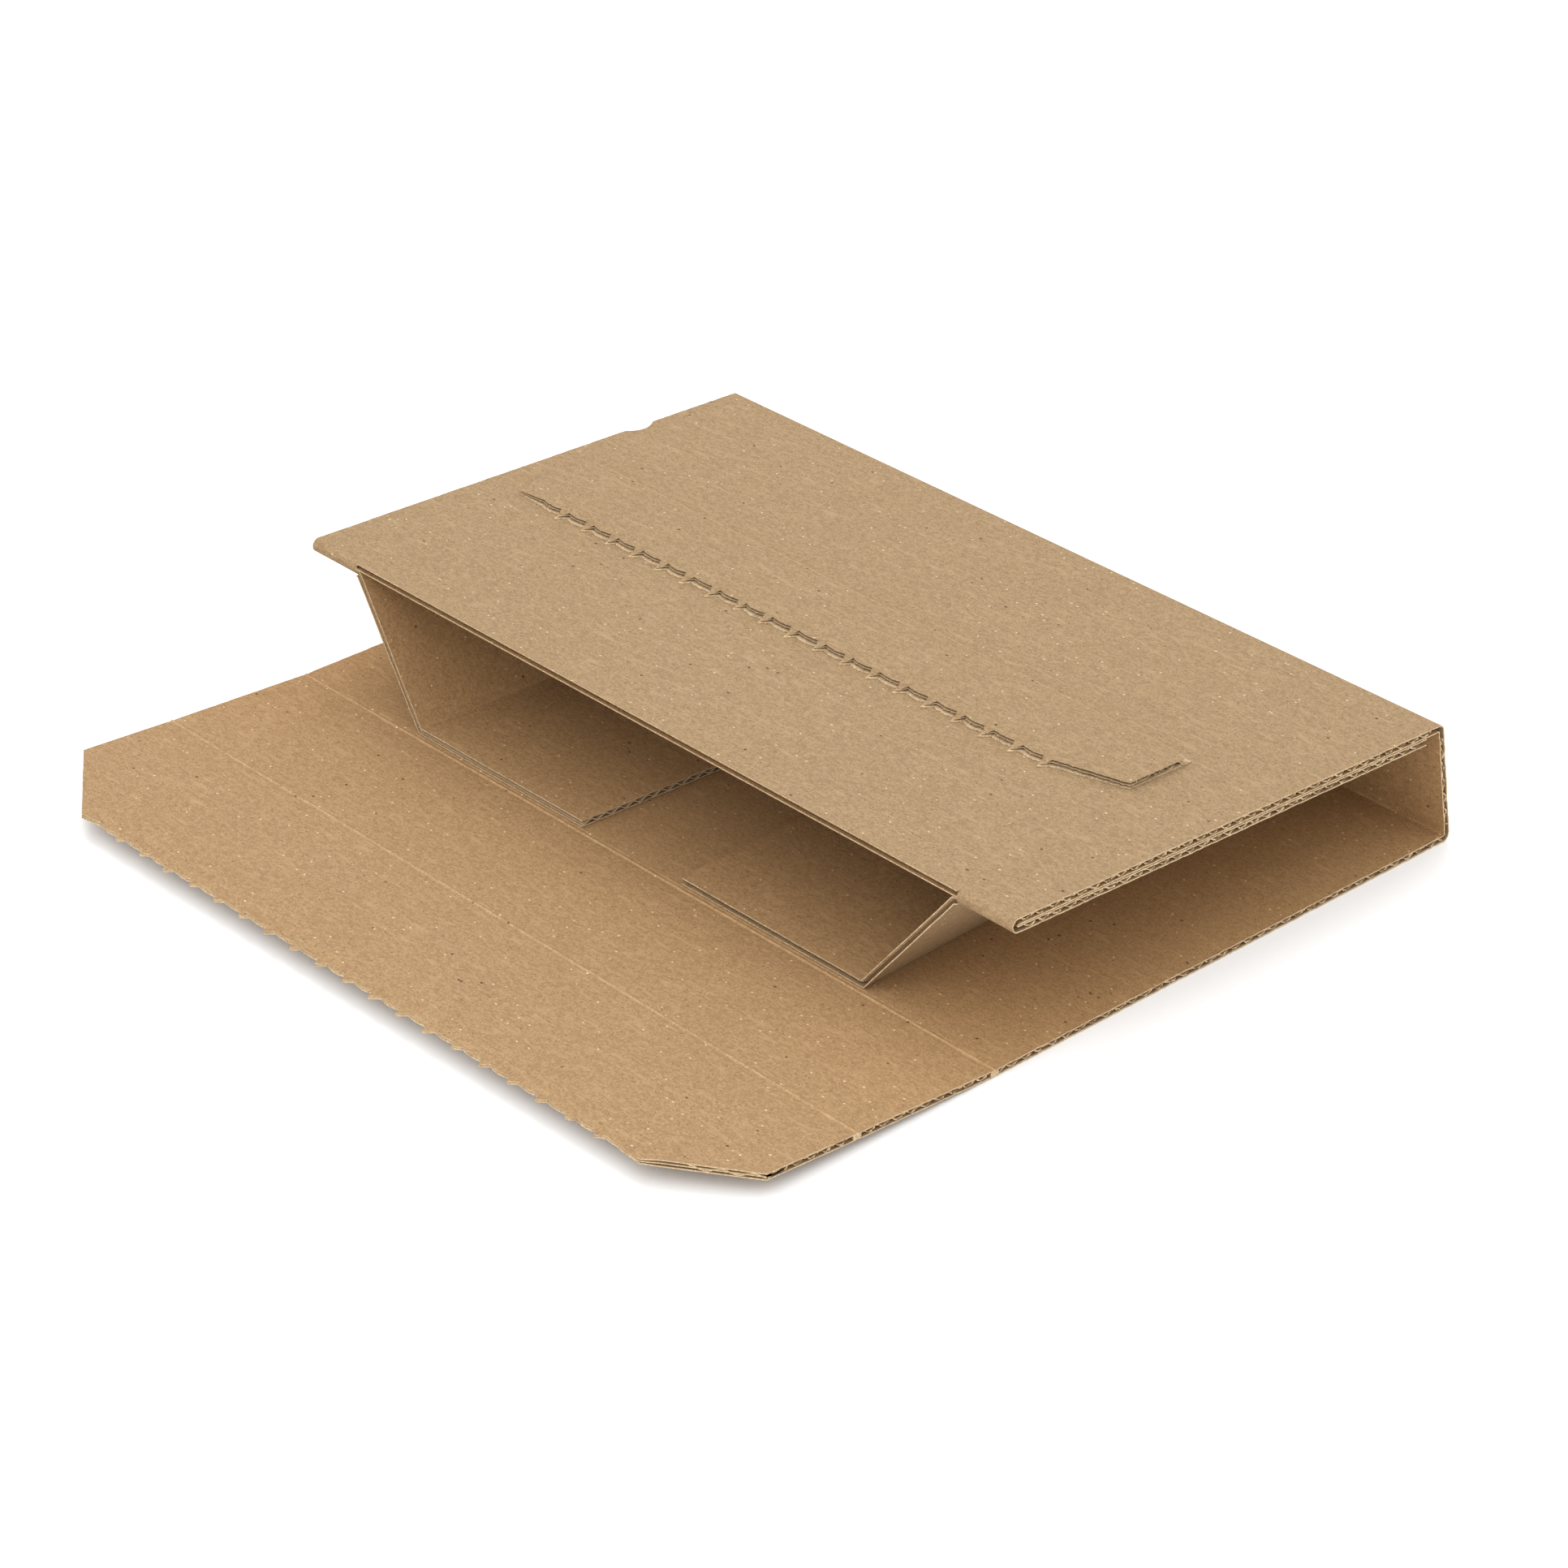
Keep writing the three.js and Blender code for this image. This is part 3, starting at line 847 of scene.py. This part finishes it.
def makeTornSheet(name, outline, innerX, level, softWidth, thickness, materials):
    # outline: places of the free edge from +Y to -Y, whose Z may drop;
    # behind it the sheet runs level to innerX
    piece = newPiece(name, [outline[0]])
    drawLine(outline)
    bpy.ops.mesh.select_all(action="SELECT")
    # the pressed board comes back to its full height in a soft roll
    for share, left in ((0.15, 0.80), (0.25, 0.52), (0.28, 0.30), (0.32, 0.0)):
        step = (softWidth * share, 0, 0)
        bpy.ops.mesh.extrude_region_move(TRANSFORM_OT_translate={"value": step})
        bpy.ops.transform.resize(value=(1, 1, left), center_override=(0, 0, level))
    bpy.ops.mesh.extrude_region_move(TRANSFORM_OT_translate={"value": (0.001, 0, 0)})
    bpy.ops.transform.resize(value=(0, 1, 1), center_override=(innerX, 0, level))
    bpy.ops.object.mode_set(mode="OBJECT")
    finishSheet(piece, thickness, materials, False)
    return piece


# Closing wall and flap

panels = {
    "wallTilt": 3.1,
    "flapTilt": 3.73,
    "flapDepthLeft": 0.068,
    "flapDepthRight": 0.0645,
    "tearLeft": 0.1455,
    "tearRight": -0.152,
    "sideDepth": 0.0395,
    "taper": 0.0075,  # the perforation pressed the board down over this length
    "chamferCorner": (0.004, 0.0055),  # last stretch of a chamfer, in X and Y
}

wallTurn = math.radians(panels["wallTilt"])
flapTurn = math.radians(panels["flapTilt"])


def makeHingedLiner(name, near, far, level, materials):
    line = spreadPoints([flat(-near, level), flat(-far, level)], board["pointEvery"])
    side = Vector((0, halfWidth, 0))
    piece = newPiece(name, [line[0] - side, line[0] + side])
    extrudeAlong(line)
    endY, midY = halfWidth - board["endBand"], board["midCut"]
    for y in (-endY, -midY, midY, endY):
        cutAcross(piece, (0, y, 0), (0, 1, 0))
    bpy.ops.object.mode_set(mode="OBJECT")
    ragEnds(piece, name)
    finishSheet(piece, board["liner"], materials)
    return piece


def makeClosingWall():
    near = board["creaseHalf"]
    far = (flapCrease - wallCrease).length - board["creaseHalf"]
    level = board["thickness"] / 2 - board["liner"] / 2
    upper = makeHingedLiner("wallUpper", near, far, level, insideToneAndBounceSheets)
    lower = makeHingedLiner("wallLower", near, far, -level, faceSheets)
    for layer in (upper, lower):
        seatPiece(layer, wallCrease, wallTurn)
    along = flat(-math.cos(wallTurn), math.sin(wallTurn))
    flutes = makeFlutes(
        "wallFlutes", far - near, 2 * halfWidth, wallCrease + along * near, panelTurn(along)
    )
    piece = joinPieces("closing_wall_board", [upper, lower, flutes])
    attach(piece, "wall")
    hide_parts("closing_wall")


def flapDepth(y):
    share = (y - panels["tearRight"]) / (panels["tearLeft"] - panels["tearRight"])
    return panels["flapDepthRight"] + share * (panels["flapDepthLeft"] - panels["flapDepthRight"])


def flapOutline(layer, level, drop, tipDrop, setBack, wander):
    tipsLength = tear["tips"] * tear["pitch"]
    spare = panels["tearLeft"] - panels["tearRight"] - tipsLength
    firstCut = panels["tearLeft"] - spare * 0.35
    marks = tornLine(firstCut, tear["tips"], "flap", layer, wander)
    fray = random.Random("flap end" + layer)
    middle = tear["tip"] * 0.6
    cornerX, cornerY = panels["chamferCorner"]
    tearFrom = -flapDepth(panels["tearLeft"]) + setBack
    tearTo = -flapDepth(panels["tearRight"]) + setBack
    outline = [
        Vector((-panels["sideDepth"], halfWidth, level)),
        Vector((tearFrom + cornerX, panels["tearLeft"] + cornerY, level)),
        Vector((tearFrom, panels["tearLeft"], level - drop * 0.6)),
    ]
    for y, out, tipness in marks:
        x = -(flapDepth(y) + out - middle - setBack)
        outline.append(Vector((x, y, level - drop - tipDrop * tipness)))
    endY = marks[-1][0]
    parts = 9
    for i in range(1, parts):
        y = endY + (panels["tearRight"] - endY) * i / parts
        x = -(flapDepth(y) - middle * (1 - i / parts) - setBack) + fray.uniform(-wander, wander)
        outline.append(Vector((x, y, level - drop)))
    outline += [
        Vector((tearTo, panels["tearRight"], level - drop * 0.6)),
        Vector((tearTo + cornerX, panels["tearRight"] - cornerY, level)),
        Vector((-panels["sideDepth"], -halfWidth, level)),
    ]
    return outline


def makeClosingFlap():
    level = board["thickness"] / 2 - board["liner"] / 2
    near = board["creaseHalf"]
    # the perforation pressed the layers together along the torn edge
    upper = makeTornSheet(
        "flapUpper",
        flapOutline(
            "upper", level, drop=0.00135, tipDrop=0.00012, setBack=0.00018, wander=0.00008
        ),
        -near,
        level,
        panels["taper"],
        board["liner"],
        insideToneAndBounceSheets,
    )
    medium = makeTornSheet(
        "flapMedium",
        flapOutline(
            "medium", 0, drop=level - 0.0004, tipDrop=0, setBack=0.0001, wander=0.00013
        ),
        -panels["sideDepth"],
        0,
        panels["taper"],
        board["fluting"],
        flutingSheets,
    )
    lower = makeTornSheet(
        "flapLower",
        flapOutline("lower", -level, drop=0, tipDrop=0, setBack=0, wander=0.00008),
        -near,
        -level,
        panels["taper"],
        board["liner"],
        faceSheets,
    )
    for layer in (upper, medium, lower):
        seatPiece(layer, flapCrease, flapTurn)
    along = flat(-math.cos(flapTurn), math.sin(flapTurn))
    depth = min(panels["flapDepthLeft"], panels["flapDepthRight"]) - 0.008
    cuts = []
    for side, tearY in ((1, panels["tearLeft"]), (-1, panels["tearRight"])):
        run = flapDepth(tearY) - panels["sideDepth"]
        rise = side * halfWidth - tearY
        # local X runs away from the crease
        normal = Vector((abs(rise), side * run, 0)).normalized()
        cuts.append(((panels["sideDepth"] - near, side * halfWidth, 0), normal))
    flutes = makeFlutes(
        "flapFlutes",
        depth - near,
        2 * halfWidth,
        flapCrease + along * near,
        panelTurn(along),
        cuts,
    )
    piece = joinPieces("closing_flap_board", [upper, medium, lower, flutes])
    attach(piece, "flap")
    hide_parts("closing_flap")


# Crease bands: the crushed board that bends between two panels


def makeCreaseBand(name, crease, turnNear, turnFar, materials):
    half = board["creaseHalf"]
    rim = board["thickness"] / 2
    section = []
    # upper side from the near panel to the far one, with the ridge that the score raised
    for share, lift in ((1, 0), (0.7, -0.00025), (0.34, -0.00005), (0.1, 0.0003)):
        section.append((half * share, rim + lift, turnNear))
    for share, lift in ((0.1, 0.0003), (0.34, -0.00005), (0.7, -0.00025), (1, 0)):
        section.append((-half * share, rim + lift, turnFar))
    for share, lift in ((1, 0), (0.4, 0.0002)):
        section.append((-half * share, -rim + lift, turnFar))
    for share, lift in ((0.4, 0.0002), (1, 0)):
        section.append((half * share, -rim + lift, turnNear))
    outline = []
    for x, z, turn in section:
        c, s = math.cos(turn), math.sin(turn)
        outline.append(crease + Vector((x * c + z * s, -halfWidth, -x * s + z * c)))
    piece = newPiece(name, [outline[0]])
    drawLine(outline)
    bpy.ops.mesh.select_all(action="SELECT")
    bpy.ops.mesh.edge_face_add()
    parts = 46
    step = Vector((0, 2 * halfWidth / parts, 0))
    bpy.ops.mesh.select_all(action="SELECT")
    for i in range(parts):
        bpy.ops.mesh.extrude_region_move(TRANSFORM_OT_translate={"value": step})
    bpy.ops.mesh.select_all(action="SELECT")
    bpy.ops.mesh.normals_make_consistent(inside=False)
    bpy.ops.object.mode_set(mode="OBJECT")
    giveMaterials(piece, materials)
    # painted highlight: the upward faces near the ridge take the paler highlight material
    for face in piece.data.polygons:
        nearRidge = abs(face.center.x - crease.x) < half * 0.3 and face.normal.z > 0
        isEnd = abs(face.normal.y) > 0.7
        face.material_index = 1 if isEnd else 2 if nearRidge else 0
    smoothPiece(piece, 60)
    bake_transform(piece)


# Glued strip on the top

strip = {
    "nearEdge": -0.023,
    "farEdge": 0.0168,
    "leftEnd": 0.168,
    "rightEnd": -0.147,
    "tearEnd": -0.1179,
    "slant": 0.009,
    "corner": 0.0065,
    "seat": 0.00006,  # glue line
    "paper": 0.00034,
    "medium": 0.00026,
    "pressed": 0.0006,  # thickness left at the pressed far edge
    "pressedWidth": 0.0024,
    "taper": 0.005,  # the perforation pressed the board down over this length
}


def stripOutline(layer, level, drop, tipDrop, setBack, stretch, wander):
    tipsLength = tear["tips"] * tear["pitch"]
    marks = tornLine(strip["tearEnd"] + tipsLength, tear["tips"], "strip", layer, wander)
    draw = random.Random("strip end")
    fray = random.Random("strip end" + layer)
    outline = [
        Vector((strip["nearEdge"] + 0.0085, strip["leftEnd"], level * 0.5)),
        Vector((strip["nearEdge"] + 0.0005, strip["leftEnd"] - 0.0015, level * 0.5)),
    ]
    for y, out, tipness in marks:
        if y < strip["leftEnd"] - 0.004:
            x = strip["nearEdge"] - out * stretch + setBack * (1 - 0.3 * tipness)
            outline.append(Vector((x, y, level - drop - tipDrop * tipness)))
    parts = 22
    lastY = marks[-1][0] - 0.0012
    for i in range(parts + 1):
        share = i / parts
        bite = draw.uniform(-0.0002, 0.0002) + fray.uniform(-0.00015, 0.00015)
        y = lastY + (strip["rightEnd"] - lastY) * share
        x = strip["nearEdge"] + strip["slant"] * share + setBack * (1 - share) + bite
        outline.append(Vector((x, y, level - drop * (1 - share))))
    return outline


def makeSealedStrip():
    low = strip["paper"] / 2
    high = board["thickness"] - strip["paper"] / 2
    upper = makeTornSheet(
        "stripUpper",
        stripOutline(
            "upper",
            high,
            drop=0.0002,
            tipDrop=0.0019,
            setBack=0.0009,
            stretch=1.0,
            wander=0.00014,
        ),
        strip["farEdge"] - strip["pressedWidth"],
        high,
        strip["taper"],
        strip["paper"],
        faceSheets,
    )
    middle = makeTornSheet(
        "stripMiddle",
        stripOutline(
            "middle",
            (low + high) / 2,
            drop=0,
            tipDrop=0.0007,
            setBack=0.0007,
            stretch=1.1,
            wander=0.00024,
        ),
        strip["nearEdge"] + 0.018,
        (low + high) / 2,
        strip["taper"],
        strip["medium"],
        flutingSheets,
    )
    lower = makeTornSheet(
        "stripLower",
        stripOutline(
            "lower", low, drop=0, tipDrop=0, setBack=-0.0005, stretch=1.3, wander=0.0002
        ),
        strip["farEdge"],
        low,
        strip["taper"],
        strip["paper"],
        tornSheets,
    )
    seat = onTop(0, -strip["seat"])
    seatHeight = seat.z - seat.x * topAlong.z / topAlong.x
    layers = [upper, middle, lower, makePressedEdge(high, low)]
    for layer in layers:
        seatPiece(layer, (0, 0, seatHeight), topSlope)
    flutesStart = strip["nearEdge"] + strip["slant"] + 0.0006
    flutesLength = strip["farEdge"] - strip["pressedWidth"] - flutesStart
    flutes = makeFlutes(
        "stripFlutes",
        flutesLength,
        strip["leftEnd"] - strip["rightEnd"] - 0.009,
        (0, 0, 0),
        0.0,
    )
    middleY = (strip["leftEnd"] + strip["rightEnd"]) / 2 - 0.0042
    spot = Vector((flutesStart, middleY, board["thickness"] / 2))
    seatPiece(flutes, spot)
    seatPiece(flutes, (0, 0, seatHeight), topSlope)
    layers.append(flutes)
    piece = joinPieces("sealed_strip_board", layers)
    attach(piece, "sleeve")
    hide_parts("sealed_strip")


def makePressedEdge(high, low):
    # the upper liner runs down to the far edge, where the board was pressed and glued flat
    start = strip["farEdge"] - strip["pressedWidth"]
    line = [
        flat(start, high),
        flat(start + strip["pressedWidth"] * 0.35, high - 0.0003),
        flat(start + strip["pressedWidth"] * 0.75, low + strip["pressed"] + 0.0004),
        flat(strip["farEdge"], low + strip["pressed"] * 0.5),
    ]
    reach = Vector((0, strip["leftEnd"], 0))
    piece = newPiece("stripPressed", [line[0] + Vector((0, strip["rightEnd"], 0)), line[0] + reach])
    bpy.ops.mesh.subdivide(number_cuts=60)
    extrudeAlong(line)
    cornerPlace = (strip["farEdge"] - strip["corner"], strip["rightEnd"], 0)
    cutAcross(piece, cornerPlace, Vector((1, -1, 0)).normalized(), True)
    farPlace = (strip["farEdge"] - strip["corner"], strip["leftEnd"], 0)
    cutAcross(piece, farPlace, Vector((1, 1, 0)).normalized(), True)
    bpy.ops.object.mode_set(mode="OBJECT")
    draw = random.Random("pressed")
    for point in piece.data.vertices:
        if point.co.x > strip["farEdge"] - 1e-5:
            point.co.x += draw.uniform(-0.0003, 0.0002)
    # painted highlight: the pressed edge's faces take the paler highlight material, where the cut
    # edge catches light
    finishSheet(piece, strip["paper"], [creaseHighlightMaterial, edgeMaterial])
    return piece


makeSleeve()
print("sleeve made")
makeWing("pocket_wing_left", 1)
makeWing("pocket_wing_right", -1)
print("wings made")
makeClosingWall()
makeClosingFlap()
makeCreaseBand(
    "wall_crease_band", wallCrease, 0.0, wallTurn, creaseHighlightSheets
)
makeCreaseBand(
    "flap_crease_band", flapCrease, wallTurn, flapTurn, creaseHighlightSheets
)
print("closing wall and flap made")
makeSealedStrip()
print("strip made")


# Ground, light and camera

studio = {
    "floorSize": 6.0,
    "floorDrop": 0.0002,
    "floorColour": (0.93, 0.93, 0.93, 1),
    "floorPale": (0.95, 0.95, 0.95, 1),
    "skyColour": (1.0, 1.0, 1.0, 1),
    "skyStrength": 1.3,
    "keyPlace": (0.35, 0.75, 1.75),
    "keySize": 1.3,
    "keyPower": 9,
    "fillPlace": (-1.3, -0.7, 1.1),
    "fillSize": 1.6,
    "fillPower": 9,
    "lightsLookAt": (-0.06, 0, 0.02),
}

camera = {
    "target": (-0.0343, 0.0047, 0.0),
    "azimuth": -42.56,
    "elevation": 29.876,
    "distance": 1.7623,
    "lens": 111.38,
    "sensor": 36.0,
}


def makeFloor():
    deselectAll()
    bpy.ops.mesh.primitive_plane_add(
        size=studio["floorSize"], location=(0, 0, -studio["floorDrop"])
    )
    floor = bpy.context.object
    floor.name = "floor"
    shop = PaperShop("studioFloor")
    shade = shop.mix(shop.noise(4, 2), studio["floorColour"], studio["floorPale"])
    floor.data.materials.append(shop.finish(shade, 0.85, shop.noise(60, 2), 0.02, 0.0005))


def makeLight(name, place, size, power):
    light = bpy.data.lights.new(name, "AREA")
    light.shape = "SQUARE"
    light.size = size
    light.energy = power
    lamp = bpy.data.objects.new(name, light)
    lamp.location = place
    aim = Vector(studio["lightsLookAt"]) - Vector(place)
    lamp.rotation_euler = aim.to_track_quat("-Z", "Y").to_euler()
    bpy.context.scene.collection.objects.link(lamp)


def makeSky():
    world = bpy.data.worlds.new("studioSky")
    world.use_nodes = True
    background = world.node_tree.nodes["Background"]
    background.inputs["Color"].default_value = studio["skyColour"]
    background.inputs["Strength"].default_value = studio["skyStrength"]
    bpy.context.scene.world = world


def makeCamera():
    lens = bpy.data.cameras.new("studioCamera")
    lens.lens = camera["lens"]
    lens.sensor_width = camera["sensor"]
    lens.dof.use_dof = False
    lens.clip_start = 0.01
    lens.clip_end = 50
    eye = bpy.data.objects.new("studioCamera", lens)
    turn = math.radians(camera["azimuth"])
    rise = math.radians(camera["elevation"])
    back = Vector(
        (math.sin(turn) * math.cos(rise), -math.cos(turn) * math.cos(rise), math.sin(rise))
    )
    eye.location = Vector(camera["target"]) + back * camera["distance"]
    eye.rotation_euler = (-back).to_track_quat("-Z", "Y").to_euler()
    bpy.context.scene.collection.objects.link(eye)
    bpy.context.scene.camera = eye


bpy.context.scene.view_settings.view_transform = "Standard"
makeFloor()
makeSky()
makeLight("key", studio["keyPlace"], studio["keySize"], studio["keyPower"])
makeLight("fill", studio["fillPlace"], studio["fillSize"], studio["fillPower"])
makeCamera()
print("studio made")
